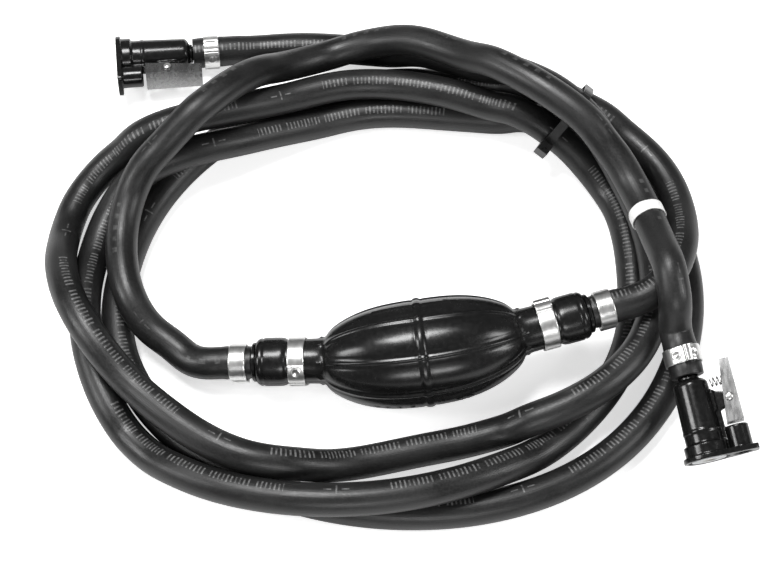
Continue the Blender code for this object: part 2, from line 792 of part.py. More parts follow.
def connector_body(name, frame):
    made = plate(f"{name}_connector_body", frame, face_outline(), 0, FACE_THICK, "plastic")
    barrel = [
        (FACE_THICK - 1, BASE_R),
        (BASE_BACK - 0.4, BASE_R),
        (BASE_BACK, BARREL_R),
        (BARREL_BACK, BARREL_END_R),
        (BODY_BACK - 0.6, BARREL_END_R - 1.2),
        (BODY_BACK, CONNECTOR_NECK_R + 0.6),
        (BODY_BACK, CONNECTOR_NECK_R),
        (CONNECTOR_HOSE_START - GAP, CONNECTOR_NECK_R),
        (CONNECTOR_HOSE_START - GAP, STEM_NECK_R),
    ]
    for k in range(3):
        x = CONNECTOR_HOSE_START + 2 + 5.5 * k
        barrel += [(x, STEM_NECK_R), (x + 4.5, STEM_R), (x + 4.7, STEM_NECK_R)]
    barrel.append((CONNECTOR_STEM_BACK, STEM_NECK_R))
    combine(made, turned("barrel", frame, barrel, None), "UNION")
    latch = [(FACE_THICK - 1, LATCH_R), (LATCH_BACK, LATCH_R)]
    combine(made, turned("latch", frame, latch, None, y=LATCH_OFFSET), "UNION")
    combine(made, slab("web", frame, web_outline(), -WEB_HALF, WEB_HALF, None), "UNION")
    cavity = [
        (-1, GROOVE_R),
        (GROOVE_DEEP, GROOVE_R),
        (GROOVE_DEEP, INSERT_R + GAP),
        (INSERT_THICK + GAP, INSERT_R + GAP),
        (INSERT_THICK + GAP, VALVE_CHAMBER_R),
        (VALVE_CHAMBER_BACK, VALVE_CHAMBER_R),
        (VALVE_CHAMBER_BACK, FLOW_R),
        (CONNECTOR_STEM_BACK + 1, FLOW_R),
    ]
    combine(made, turned("cavity", frame, cavity, None), "DIFFERENCE")
    bore = [(-1, LATCH_BORE_R), (LATCH_BORE_DEEP, LATCH_BORE_R)]
    combine(made, turned("bore", frame, bore, None, y=LATCH_OFFSET), "DIFFERENCE")
    hole = cross_rod("hole", frame, PIVOT_BACK, PIVOT_OUT, PIVOT_HOLE_R, WEB_HALF + 1)
    combine(made, hole, "DIFFERENCE")


def connector_port(name, frame):
    """The insert, seal, plunger and spring of the shut-off valve behind the face."""
    ends = (0, INSERT_THICK)
    turned_pipe(
        f"{name}_port_insert", frame, [(x, INSERT_R) for x in ends], [(x, PORT_R) for x in ends], "plastic"
    )
    seal_out = [(GAP, GROOVE_R - 0.7), (0.6, GROOVE_R - GAP), (1.1, GROOVE_R - GAP), (1.4, GROOVE_R - 0.7)]
    seal_in = [(GAP, INSERT_R + 0.9), (0.6, INSERT_R + 0.6), (1.1, INSERT_R + 0.6), (1.4, INSERT_R + 0.9)]
    turned_pipe(f"{name}_face_seal", frame, seal_out, seal_in, "rubber")
    shoulder = INSERT_THICK + 2 * GAP
    plunger = [
        (0.6, PORT_R - 0.4),
        (shoulder, PORT_R - 0.4),
        (shoulder, VALVE_CHAMBER_R - 0.6),
        (shoulder + 1.6, VALVE_CHAMBER_R - 0.6),
        (shoulder + 1.6, 1.5),
        (shoulder + 5, 1.5),
    ]
    turned(f"{name}_valve_plunger", frame, plunger, "brass")
    start = shoulder + 1.6 + GAP + WIRE_R
    coil_spring(f"{name}_valve_spring", frame, start, VALVE_CHAMBER_BACK - GAP - WIRE_R, 3.6, 6)


def connector_latch(name, frame):
    """The pressed-steel lever, its pivot pin and its return spring."""
    side = [
        (LEVER_FROM, LEVER_EDGE_LATCH),
        (LEVER_TO, LEVER_EDGE_THUMB),
        (LEVER_TO, LEVER_OUT),
        (LEVER_FROM, LEVER_OUT),
    ]
    made = slab(f"{name}_latch_lever", frame, side, -LEVER_HALF, LEVER_HALF, "steel")
    inside = [
        (LEVER_FROM + SHEET, 5),
        (LEVER_TO + 1, 5),
        (LEVER_TO + 1, LEVER_OUT - SHEET),
        (LEVER_FROM + SHEET, LEVER_OUT - SHEET),
    ]
    half = LEVER_HALF - SHEET
    combine(made, slab("inside", frame, inside, -half, half, None), "DIFFERENCE")
    holes = cross_rod("holes", frame, PIVOT_BACK, PIVOT_OUT, PIVOT_HOLE_R, LEVER_HALF + 1)
    combine(made, holes, "DIFFERENCE")
    notch = [(LEVER_FROM - 1, 5), (LEVER_FROM + 2, 5), (LEVER_FROM + 2, 16), (LEVER_FROM - 1, 16)]
    combine(made, slab("notch", frame, notch, -2.5, 2.5, None), "DIFFERENCE")
    pin_rings = []
    head = PIVOT_R + 0.7
    for z, r in ((-7.1, head), (-6.3, head), (-6.3, PIVOT_R), (6.3, PIVOT_R), (6.3, head), (7.1, head)):
        angles = [math.tau * (k + 0.5) / 12 for k in range(12)]
        pin_rings.append(
            [frame.at(PIVOT_BACK + r * math.cos(a), PIVOT_OUT + r * math.sin(a), z) for a in angles]
        )
    add_mesh(f"{name}_latch_pin", *capped_loft(pin_rings), "steel")
    start = BARREL_R + 0.2
    stop = LEVER_OUT - SHEET - GAP - WIRE_R
    coil_spring(f"{name}_latch_spring", frame, start, stop, 2.0, 5, y=LATCH_SPRING_BACK, along="y")


def connector(name, frame):
    connector_body(name, frame)
    connector_port(name, frame)
    connector_latch(name, frame)


def set_origin(name, point):
    """Put an object's origin at a point in millimetres, and leave its surface where it is."""
    thing = bpy.data.objects[name]
    place = Vector(((point[0] + SHIFT[0]) * MM, (point[1] + SHIFT[1]) * MM, point[2] * MM))
    thing.data.transform(Matrix.Translation(-place))
    thing.location = place


def set_origins(inlet, outlet, engine, tank):
    """Each moving piece has its origin on its joint's axis."""
    set_origin("primer_bulb", bulb_frame(0).o)
    set_origin("inlet_poppet", inlet.at(-CHAMBER_DEEP, 0, 0))
    set_origin("outlet_poppet", outlet.at(-RING_DEEP, 0, 0))
    for name, frame in (("engine", engine), ("tank", tank)):
        set_origin(f"{name}_latch_lever", frame.at(PIVOT_BACK, PIVOT_OUT, 0))
        set_origin(f"{name}_valve_plunger", frame.at(INSERT_THICK, 0, 0))


def main():
    clear_scene()
    inlet, outlet = bulb_group()
    engine = connector_frame(ENGINE_FACE, ENGINE_YAW, ENGINE_PITCH, ENGINE_ROLL, 0)
    tank = connector_frame(TANK_FACE, TANK_YAW, TANK_PITCH, TANK_ROLL, 90)
    connector("engine", engine)
    connector("tank", tank)
    paths, stations = lay_hoses(inlet, outlet, engine, tank)
    hose("engine_hose", paths[0])
    hose("tank_hose", paths[1])
    cable_tie(paths[0], stations[0])
    id_band(paths[1], stations[1])
    clamps(inlet, outlet, engine, tank)
    set_origins(inlet, outlet, engine, tank)


main()
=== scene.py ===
"""Looks of a coiled fuel line with a primer bulb: fine surfaces, finishes, floor, light and camera.

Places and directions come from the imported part; lengths are millimetres unless a name says otherwise.
"""

import json
import math

import bmesh
import bpy
import numpy as np
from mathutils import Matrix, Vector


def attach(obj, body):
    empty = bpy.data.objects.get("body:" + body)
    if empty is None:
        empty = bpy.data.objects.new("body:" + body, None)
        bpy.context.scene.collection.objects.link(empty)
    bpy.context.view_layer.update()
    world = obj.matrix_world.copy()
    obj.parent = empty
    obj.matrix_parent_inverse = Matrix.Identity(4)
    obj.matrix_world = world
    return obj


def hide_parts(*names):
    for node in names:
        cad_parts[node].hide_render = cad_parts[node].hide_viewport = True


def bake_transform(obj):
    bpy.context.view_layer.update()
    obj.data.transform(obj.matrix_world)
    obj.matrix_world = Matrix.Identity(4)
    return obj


MM = 0.001
WELD_M = 1e-6
ROUND_STEPS = 4
BEVEL_SEGMENTS = 3
BEVEL_FROM_DEG = 28
LOOP_FROM_DEG = 75

# Camera
CAMERA_DISTANCE_M = 0.846
CAMERA_ELEVATION = 63.0
CAMERA_TARGET_M = (-0.0053, -0.0064, 0.0)
CAMERA_LENS = 77.97

# Floor and light; a light is its name, its place and its width and length in metres, and its watts
FLOOR_REACH_M = 3.0
FLOOR_GLOW = 0.62
WORLD_DIM = 0.17
LIGHT_TARGET_M = (0, 0, 0.02)
LIGHTS = (
    ("overhead", (-0.25, 0.25, 1.3), (0.55, 0.35), 15),
    ("left", (-1.1, -0.25, 0.8), (0.3, 0.6), 7),
    ("right", (1.1, -0.3, 0.8), (0.3, 0.6), 6),
    ("front", (0.1, -1.2, 0.7), (0.6, 0.2), 4),
)

# Hoses
HOSE_R = 8.0
BORE_R = 5.0
HOSE_SIDES = 32
HOSE_STEP = 2.5
BORE_DEEP = 26.0
LEAD = 27.0
RING_POINTS = 8
RING_SLACK = 0.7
BULB_HOSE_START = 2.8
PLUG_HOSE_START = 41.0
EDGE_ROUND = 0.6
PRINT_SIDE = 0.2
HOSE_DARK = (0.006, 0.006, 0.006)
HOSE_DUSTY = (0.02, 0.02, 0.02)
PRINT_GREY = (0.3, 0.3, 0.3)
DASH_OUT = 4.2
DASH_HALF = 1.8
DASH_THICK = 0.35
BAR_THICK = 0.4
PINCH_WIDE = 5.6
PINCH_RISE = 0.28
PINCH_DEEP = 0.2
BULB_CLAMP_AT = 6.7
PLUG_CLAMP_AT = 10.0

# Printed marks: period and printed length, half height of a tick, pitch of the ticks
ENGINE_MARKS = (155.0, 106.0, 2.4, 2.1)
ENGINE_MARK_STRENGTH = 0.55
TANK_MARKS = (96.0, 30.0, 1.4, 6.5)
TANK_MARK_STRENGTH = 0.2

# Bulb
BULB_HALF = 81.0
BULGE_HALF = 47.3
BULGE_R = 25.7
NECK_R = 11.0
COLLAR_R = 11.9
COLLAR_FROM = 65.8
BULB_BORE_R = 8.35
BULB_SIDES = 288
BULB_STEP = 0.75
RIB_COUNT = 8
RIB_FIRST = 30.0
RIB_HALF = 0.85
RIB_RISE = 0.6
RIB_GROOVE = 0.22
EQUATOR_HALF = 1.6
EQUATOR_RISE = 0.6
PANEL_CROWN = 0.6
NUB_RISE = 0.75
NUB_BEYOND = 2.2
SEAM_RISE = 0.16
ARROW_FROM = -23
ARROW_HEAD = 13
ARROW_TO = 21
ARROW_RISE = 0.5
MARK_RISE = 0.35
DOTS_AT = (-24, -19, -14, -8)
OVAL_AT = 16
SQUEEZE_FROM = 12.5

# Valve fittings
RING_MIDDLE = 21.5
FLANGE_R = 9.6
FLANGE_FROM = 0.3
FLANGE_TO = 2.4
FLANGE_CORNER = 0.5
STEM_R = 3.6
BARB_R = 4.05
BARB_PITCH = 5.5
BARB_LONG = 4.5
BARB_STEP = 0.2
STEM_BORE_R = 2.4
STEM_OUT = 22
WIRE_R = 0.35

# Clamps
BAND_HALF = 4.0
BAND_THICK = 0.7
BAND_ROOM = 0.4
BAND_RINGS = 360
EAR_HALF = 17.0
EAR_RISE = 2.1
DIMPLE_R = 1.9
DIMPLE_DEEP = 0.5
DIMPLE_RIM = 0.12
LAP_RISE = 0.35
FOLD_DEEP = 0.45

# The white band
TAPE_HALF = 3.0
TAPE_UNDER = 0.25
TAPE_OVER = 0.75
TAPE_LAP = 0.18
TAPE_CORNER = 0.2

# Quick connectors
PIVOT_BACK = 26.7
PIVOT_OUT = 16.4
PIVOT_R = 1.25
FACE_R = 12.0
FACE_THICK = 2.5
TAB_REACH = 24.0
TAB_HALF = 6.8
TAB_CORNER = 2.0
LATCH_OFFSET = 16.0
WEB_TOP = 11.0
WEB_HALF = 2.2
EAR_R = 2.9
PIVOT_HOLE_R = 1.6
VALVE_CHAMBER_R = 5.1
LATCH_BORE_R = 4.3
LATCH_BORE_DEEP = 11
LATCH_SPRING_BACK = 35.8
PLUG_STEM_END = 61
VOXEL = 0.32

# Finishes: name, dark and light colour, roughness range, grain scale and depth, metal, grain stretch
PLAIN = (1, 1, 1)
LONG_GRAIN = (1, 0.08, 1)
METAL = 1.0
BLACK = (0.003, 0.003, 0.003)
CLOUD_SCALE = 60.0
FINISHES = {
    "steel": (
        "plated_steel",
        (0.8, 0.8, 0.79),
        (0.93, 0.93, 0.92),
        (0.26, 0.38),
        (700, 0.008),
        METAL,
        LONG_GRAIN,
    ),
    # The lever finish is a darker copy of the plated steel above: painted shade on the latch levers,
    # where the lights leave bare steel too bright
    "lever": (
        "shaded_lever_steel",
        (0.3, 0.3, 0.3),
        (0.46, 0.46, 0.46),
        (0.2, 0.34),
        (600, 0.01),
        METAL,
        LONG_GRAIN,
    ),
    "brass": (
        "turned_brass",
        (0.55, 0.4, 0.2),
        (0.78, 0.6, 0.33),
        (0.22, 0.4),
        (1800, 0.02),
        METAL,
        (0.1, 1, 1),
    ),
    "bulb": ("moulded_rubber", BLACK, (0.008, 0.008, 0.008), (0.2, 0.3), (500, 0.008)),
    "plastic": ("moulded_plastic", BLACK, (0.009, 0.009, 0.009), (0.14, 0.26), (600, 0.01)),
    "insert": ("grey_insert", (0.5, 0.51, 0.52), (0.7, 0.71, 0.72), (0.35, 0.5), (900, 0.015)),
    "seal": ("seal_rubber", (0.005, 0.005, 0.005), (0.014, 0.014, 0.014), (0.45, 0.6), (900, 0.02)),
    "tie": ("black_nylon", (0.006, 0.006, 0.006), (0.018, 0.018, 0.018), (0.25, 0.4), (600, 0.015)),
    "band": ("white_tape", (0.8, 0.8, 0.79), (0.93, 0.93, 0.92), (0.45, 0.6), (700, 0.02)),
}


# ---------------------------------------------------------------- axes and measures


def unit(v):
    v = np.array(v, float)
    return v / np.linalg.norm(v)


class Axes:
    """A right-handed frame: x along a piece, y and z across it. at() takes millimetres."""

    def __init__(self, origin, along, across):
        self.o = np.array(origin, float)
        self.x = unit(along)
        across = np.array(across, float)
        self.y = unit(across - self.x * across.dot(self.x))
        self.z = np.cross(self.x, self.y)

    def at(self, x, y=0.0, z=0.0):
        return self.o + (self.x * x + self.y * y + self.z * z) * MM


def level_axes(origin, along):
    """Axes whose y is level and whose z points upwards."""
    return Axes(origin, along, np.cross((0, 0, 1), along))


def vertices(node):
    return np.array([v.co for v in FRAME["nodes"][node].data.vertices], float)


def joint(name):
    return next(j for j in FRAME["joints"] if j["name"] == name)


def connector_axes(name):
    """The axes at a quick connector's face, from its valve's slide and its lever's hinge."""
    along = unit(joint(f"{name}_valve_push")["axis"])
    hinge = joint(f"{name}_latch")
    out = np.cross(-unit(hinge["axis"]), along)
    origin = np.array(hinge["pos_m"]) - (along * PIVOT_BACK + out * PIVOT_OUT) * MM
    return Axes(origin, along, out)


def end_axes(name, ring, way):
    """The axes at one end of the bulb, with x pointing away from the bulb."""
    along = unit(joint(f"{name}_valve_lift")["axis"]) * way
    middle = (vertices(ring).min(0) + vertices(ring).max(0)) / 2
    return Axes(middle + along * RING_MIDDLE * MM, along, np.cross((0, 0, 1), along * way))


def axial_middle(node, axes):
    """How far along the axes a node's middle lies, in millimetres."""
    run = (vertices(node) - axes.o) @ axes.x / MM
    return (run.min() + run.max()) / 2


def bulb_axes(s):
    """The axes on the bulb's centre line, s millimetres from its middle."""
    if s <= -BULGE_HALF:
        return level_axes(INLET.at(-(s + BULB_HALF)), -INLET.x)
    if s >= BULGE_HALF:
        return level_axes(OUTLET.at(s - BULB_HALF), OUTLET.x)
    start, stop = INLET.at(BULGE_HALF - BULB_HALF), OUTLET.at(BULGE_HALF - BULB_HALF)
    reach = 2 * BULGE_HALF * MM
    leave, arrive = -INLET.x * reach, OUTLET.x * reach
    t = (s + BULGE_HALF) / (2 * BULGE_HALF)
    place = (
        start * (2 * t**3 - 3 * t**2 + 1)
        + leave * (t**3 - 2 * t**2 + t)
        + stop * (3 * t**2 - 2 * t**3)
        + arrive * (t**3 - t**2)
    )
    slope = (
        start * (6 * t**2 - 6 * t)
        + leave * (3 * t**2 - 4 * t + 1)
        + stop * (6 * t - 6 * t**2)
        + arrive * (3 * t**2 - 2 * t)
    )
    return level_axes(place, slope)


# ---------------------------------------------------------------- meshes


def skin(rings, around=False):
    """Points and faces of closed rings joined in order: capped at both ends, or joined all round."""
    count = len(rings[0])
    points = [tuple(p) for ring in rings for p in ring]
    faces = []
    steps = len(rings) if around else len(rings) - 1
    for k in range(steps):
        low, high = k * count, (k + 1) % len(rings) * count
        for i in range(count):
            j = (i + 1) % count
            faces.append((low + i, low + j, high + j, high + i))
    if not around:
        last = len(points) - count
        faces.append(tuple(reversed(range(count))))
        faces.append(tuple(range(last, last + count)))
    return points, faces


def make_mesh(name, points, faces, sharp=40.0):
    mesh = bpy.data.meshes.new(name)
    mesh.from_pydata(points, [], faces)
    work = bmesh.new()
    work.from_mesh(mesh)
    bmesh.ops.recalc_face_normals(work, faces=work.faces)
    work.to_mesh(mesh)
    work.free()
    mesh.shade_smooth()
    mesh.set_sharp_from_angle(angle=math.radians(sharp))
    made = bpy.data.objects.new(name, mesh)
    bpy.context.scene.collection.objects.link(made)
    return made


def finish_piece(made, look, nodes, body="coil"):
    """Give a piece its finish, hide the nodes it stands for, and attach it to its body if it has one.
    """
    made.data.materials.clear()
    made.data.materials.append(look)
    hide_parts(*nodes)
    if body:
        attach(made, body)


def circle(axes, x, radius, sides, y=0.0):
    angles = np.linspace(0, math.tau, sides, endpoint=False)
    return [axes.at(x, y + radius * math.cos(a), radius * math.sin(a)) for a in angles]


def turned(name, axes, profile, sides=72, y=0.0, around=False):
    """A turned shape from (distance along, radius) pairs; around joins its last ring to its first."""
    return make_mesh(name, *skin([circle(axes, x, r, sides, y) for x, r in profile], around))


def rounded_ring(start, stop, inner, outer, corner):
    """The closed profile of a ring with rounded outer corners."""
    turns = [math.radians(90 * k / ROUND_STEPS) for k in range(ROUND_STEPS + 1)]
    drops = [(corner * (1 - math.sin(a)), corner * (1 - math.cos(a))) for a in turns]
    rise = [(start + x, outer - r) for x, r in reversed(drops)]
    fall = [(stop - x, outer - r) for x, r in drops]
    return [(start, inner), *rise, *fall, (stop, inner)]


def prism(name, rings):
    return make_mesh(name, *skin(rings))


def merge(target, other, operation):
    """Join other to target, or cut it away, and drop other."""
    change = target.modifiers.new(operation.lower(), "BOOLEAN")
    change.operation = operation
    change.solver = "EXACT"
    change.object = other
    graph = bpy.context.evaluated_depsgraph_get()
    result = bpy.data.meshes.new_from_object(target.evaluated_get(graph))
    target.modifiers.clear()
    target.data = result
    bpy.data.objects.remove(other, do_unlink=True)


def remould(made, voxel, smooth):
    """Turn joined shapes into one moulded surface with soft inner and outer corners."""
    change = made.modifiers.new("remesh", "REMESH")
    change.mode = "VOXEL"
    change.voxel_size = voxel * MM
    ease = made.modifiers.new("smooth", "SMOOTH")
    ease.iterations = smooth
    ease.factor = 0.5
    graph = bpy.context.evaluated_depsgraph_get()
    result = bpy.data.meshes.new_from_object(made.evaluated_get(graph))
    made.modifiers.clear()
    made.data = result
    made.data.shade_smooth()


def soften(node, width):
    """Round the edges of a node that is shown as it is."""
    change = FRAME["nodes"][node].modifiers.new("edges", "BEVEL")
    change.width = width * MM
    change.segments = BEVEL_SEGMENTS
    change.limit_method = "ANGLE"
    change.angle_limit = math.radians(BEVEL_FROM_DEG)
    change.harden_normals = False


def paint(node, look):
    """Give a node that is shown as it is its finish."""
    shown = FRAME["nodes"][node]
    shown.data.materials.clear()
    shown.data.materials.append(look)


def arc(mid, radius, start, stop, steps):
    angles = np.radians(np.linspace(start, stop, steps + 1))
    return [(mid[0] + radius * math.cos(a), mid[1] + radius * math.sin(a)) for a in angles]


def hull(points):
    """The convex outline of points in a plane, anticlockwise."""
    points = sorted(set((round(a, 4), round(b, 4)) for a, b in points))

    def half(run):
        kept = []
        for p in run:
            while len(kept) > 1 and turn_of(kept[-2], kept[-1], p) <= 0:
                kept.pop()
            kept.append(p)
        return kept[:-1]

    return half(points) + half(reversed(points))


def turn_of(a, b, c):
    return (b[0] - a[0]) * (c[1] - a[1]) - (b[1] - a[1]) * (c[0] - a[0])


def bump_at(distance, half):
    """A smooth bump: 1 at distance 0 and 0 from half outwards."""
    share = np.clip(1 - np.abs(distance) / half, 0, 1)
    return share * share * (3 - 2 * share)


# ---------------------------------------------------------------- finishes


class Tree:
    """A material's node tree with short ways to add nodes."""

    def __init__(self, name):
        self.look = bpy.data.materials.new(name)
        self.look.use_nodes = True
        self.nodes = self.look.node_tree.nodes
        self.links = self.look.node_tree.links
        self.shader = self.nodes["Principled BSDF"]

    def add(self, kind, **inputs):
        node = self.nodes.new(kind)
        for key, value in inputs.items():
            self.feed(node.inputs[key.replace("_", " ")], value)
        return node

    def feed(self, socket, value):
        if isinstance(value, bpy.types.NodeSocket):
            self.links.new(value, socket)
        else:
            socket.default_value = value

    def math(self, operation, a, b=0.0, c=0.0):
        node = self.nodes.new("ShaderNodeMath")
        node.operation = operation
        for socket, value in zip(node.inputs, (a, b, c)):
            self.feed(socket, value)
        return node.outputs[0]

    def place(self, stretch):
        where = self.nodes.new("ShaderNodeTexCoord")
        spread = self.nodes.new("ShaderNodeMapping")
        spread.inputs["Scale"].default_value = stretch
        self.links.new(where.outputs["Object"], spread.inputs["Vector"])
        return spread.outputs["Vector"]

    def noise(self, scale, detail=3.0, stretch=PLAIN):
        node = self.add("ShaderNodeTexNoise", Scale=scale, Detail=detail, Vector=self.place(stretch))
        return node.outputs["Fac"]

    def spread(self, value, low, high, out_low, out_high):
        node = self.nodes.new("ShaderNodeMapRange")
        for socket, v in zip(node.inputs, (value, low, high, out_low, out_high)):
            self.feed(socket, v)
        return node.outputs[0]

    def attribute(self, name):
        node = self.nodes.new("ShaderNodeAttribute")
        node.attribute_name = name
        return node.outputs["Fac"]

    def mix(self, share, a, b):
        node = self.nodes.new("ShaderNodeMix")
        node.data_type = "RGBA"
        self.feed(node.inputs["Factor"], share)
        for socket, colour in ((node.inputs[6], a), (node.inputs[7], b)):
            self.feed(socket, colour if isinstance(colour, bpy.types.NodeSocket) else (*colour, 1.0))
        return node.outputs[2]

    def rough_bump(self, height, depth_mm):
        node = self.add("ShaderNodeBump", Height=height, Strength=1.0, Distance=depth_mm * MM)
        self.links.new(node.outputs["Normal"], self.shader.inputs["Normal"])


def grained(name, dark, light, rough, grain, metallic=0.0, stretch=PLAIN):
    """A finish with a fine grain, cloudy colour and an uneven sheen."""
    scale, depth = grain
    tree = Tree(name)
    clouds = tree.noise(CLOUD_SCALE, 5.0)
    fine = tree.noise(scale, 4.0, stretch)
    both = tree.math("MULTIPLY_ADD", fine, 0.6, tree.math("MULTIPLY", clouds, 0.4))
    share = tree.spread(both, 0.35, 0.65, 0.0, 1.0)
    tree.feed(tree.shader.inputs["Base Color"], tree.mix(share, dark, light))
    tree.feed(tree.shader.inputs["Roughness"], tree.spread(both, 0.3, 0.7, rough[0], rough[1]))
    tree.shader.inputs["Metallic"].default_value = metallic
    tree.rough_bump(fine, depth)
    return tree.look


def print_marks(tree, period, printed, height, pitch):
    """A mask of plain upright ticks in rows along a hose, with a bar between two dashes in each gap."""

    def both(a, b):
        return tree.math("MULTIPLY", a, b)

    def under(value, limit):
        return tree.math("LESS_THAN", value, limit)

    run = tree.math("MODULO", both(tree.attribute("along"), 1000.0), period)
    turn = tree.math("WRAP", tree.math("SUBTRACT", tree.attribute("around"), PRINT_SIDE), 0.5, -0.5)
    over = tree.math("ABSOLUTE", both(turn, math.tau * HOSE_R))
    cell = tree.math("FLOOR", tree.math("DIVIDE", run, pitch))
    within = tree.math("FRACT", tree.math("DIVIDE", run, pitch))
    chance = tree.nodes.new("ShaderNodeTexWhiteNoise")
    chance.noise_dimensions = "1D"
    tree.feed(chance.inputs["W"], cell)
    tall = tree.spread(chance.outputs["Value"], 0.0, 1.0, 0.7 * height, height)
    tick = both(tree.math("COMPARE", within, 0.5, 0.2), under(over, tall))
    row = under(tree.math("FRACT", tree.math("DIVIDE", cell, 11.0)), 0.87)
    ticks = both(both(tick, row), under(run, printed))
    off = tree.math("ABSOLUTE", tree.math("SUBTRACT", run, (printed + period) / 2))
    dash = both(tree.math("COMPARE", off, DASH_OUT, DASH_HALF), under(over, DASH_THICK))
    bar = both(under(off, BAR_THICK), under(over, height))
    return tree.math("MAXIMUM", ticks, tree.math("MAXIMUM", dash, bar))


def hose_look(name, marks, strength):
    """Extruded black rubber: fine lengthwise lines, dusty patches and worn printed ticks."""
    tree = Tree(name)
    dust = tree.noise(35.0, 6.0)
    speck = tree.noise(1100.0, 3.0)
    lines = tree.nodes.new("ShaderNodeTexNoise")
    lines.noise_dimensions = "2D"
    lines.inputs["Scale"].default_value = 1.0
    lines.inputs["Detail"].default_value = 3.0
    joined = tree.nodes.new("ShaderNodeCombineXYZ")
    tree.feed(joined.inputs[0], tree.math("MULTIPLY", tree.attribute("around"), 90.0))
    tree.feed(joined.inputs[1], tree.math("MULTIPLY", tree.attribute("along"), 25.0))
    tree.links.new(joined.outputs[0], lines.inputs["Vector"])
    both = tree.math("MULTIPLY_ADD", dust, 0.55, tree.math("MULTIPLY", speck, 0.45))
    base = tree.mix(tree.spread(both, 0.38, 0.66, 0.0, 1.0), HOSE_DARK, HOSE_DUSTY)
    wear = tree.spread(tree.noise(500.0, 3.0), 0.36, 0.6, 0.2, 0.9)
    mask = tree.math("MULTIPLY", print_marks(tree, *marks), tree.math("MULTIPLY", wear, strength))
    tree.feed(tree.shader.inputs["Base Color"], tree.mix(mask, base, PRINT_GREY))
    tree.feed(tree.shader.inputs["Roughness"], tree.spread(both, 0.35, 0.65, 0.3, 0.5))
    height = tree.math("MULTIPLY_ADD", lines.outputs["Fac"], 0.7, tree.math("MULTIPLY", speck, 0.5))
    tree.rough_bump(height, 0.07)
    return tree.look


def looks():
    found = {slot: grained(*finish) for slot, finish in FINISHES.items()}
    found["engine_hose"] = hose_look("printed_hose", ENGINE_MARKS, ENGINE_MARK_STRENGTH)
    found["tank_hose"] = hose_look("plain_hose", TANK_MARKS, TANK_MARK_STRENGTH)
    return found


# ---------------------------------------------------------------- hoses


def end_loops(work):
    """The closed loops of edges at the hose's cut ends, widest first."""
    sharp = [e for e in work.edges if e.calc_face_angle(0) > math.radians(LOOP_FROM_DEG)]
    linked = {}
    for edge in sharp:
        a, b = edge.verts
        linked.setdefault(a, []).append(b)
        linked.setdefault(b, []).append(a)
    loops, seen = [], set()
    for start in linked:
        if start in seen:
            continue
        loop, queue = [], [start]
        while queue:
            v = queue.pop()
            if v not in seen:
                seen.add(v)
                loop.append(v)
                queue += linked[v]
        loops.append(loop)
    return sorted(loops, key=lambda loop: -loop_radius(loop))


def loop_radius(loop):
    """The mean distance of a loop's points from their middle, in metres."""
    places = np.array([v.co for v in loop])
    return np.linalg.norm(places - places.mean(0), axis=1).mean()


def middle_of(loop):
    return np.mean([v.co for v in loop], axis=0)


def course(node, start, stop):
    """The centre line of a hose, from the ring of points at each station between its two ends."""
    work = bmesh.new()
    work.from_mesh(FRAME["nodes"][node].data)
    bmesh.ops.remove_doubles(work, verts=work.verts, dist=WELD_M)
    loops = end_loops(work)
    at_start = [loop for loop in loops if np.linalg.norm(middle_of(loop) - start[0]) < MM]
    at_stop = [loop for loop in loops if np.linalg.norm(middle_of(loop) - stop[0]) < MM]
    inner = [loop for loop in at_start + at_stop if loop_radius(loop) < (HOSE_R + BORE_R) / 2 * MM]
    visited = {v for loop in inner for v in loop}
    ring, centres = set(at_start[0]), []
    while ring:
        reach = loop_radius(ring) / MM
        if len(ring) == RING_POINTS and abs(reach - HOSE_R) < RING_SLACK:
            centres.append(middle_of(ring))
        visited |= ring
        ring = {e.other_vert(v) for v in ring for e in v.link_edges} - visited
    work.free()
    kept = [c for c in centres if all(np.linalg.norm(c - end[0]) > LEAD * MM for end in (start, stop))]
    return np.array([*start, *kept, *stop[::-1]])


def fine_course(centres):
    """A natural cubic curve through the centres, sampled evenly."""
    knots = np.r_[0, np.cumsum(np.linalg.norm(np.diff(centres, axis=0), axis=1))]
    gaps = np.diff(knots)
    count = len(centres)
    system = np.eye(count)
    right = np.zeros_like(centres)
    for k in range(1, count - 1):
        system[k, k - 1 : k + 2] = gaps[k - 1], 2 * (gaps[k - 1] + gaps[k]), gaps[k]
        rise = (centres[k + 1] - centres[k]) / gaps[k]
        before = (centres[k] - centres[k - 1]) / gaps[k - 1]
        right[k] = 6 * (rise - before)
    bend = np.linalg.solve(system, right)
    places = np.linspace(0, knots[-1], int(knots[-1] / (HOSE_STEP * MM)) + 1)
    which = np.clip(np.searchsorted(knots, places, side="right") - 1, 0, count - 2)
    h = gaps[which][:, None]
    a = (knots[which + 1] - places)[:, None]
    b = (places - knots[which])[:, None]
    curve = (
        bend[which] * a**3 / (6 * h)
        + bend[which + 1] * b**3 / (6 * h)
        + (centres[which] / h - bend[which] * h / 6) * a
        + (centres[which + 1] / h - bend[which + 1] * h / 6) * b
    )
    return curve, places / MM


def pinched(run, clamps):
    """How far the rubber swells beside each clamp, less how far it gives way under it."""
    swell = 0.0
    for clamp in clamps:
        off = abs(run - clamp)
        swell += PINCH_RISE * math.exp(-(((off - PINCH_WIDE) / 1.6) ** 2))
        swell -= PINCH_DEEP * math.exp(-((off / 3.4) ** 4))
    return swell


def lead(axes, start):
    """Points on the straight stretch of a hose where it's pushed over a stem."""
    return [axes.at(start + step) for step in (0, 8, 16, 23)]


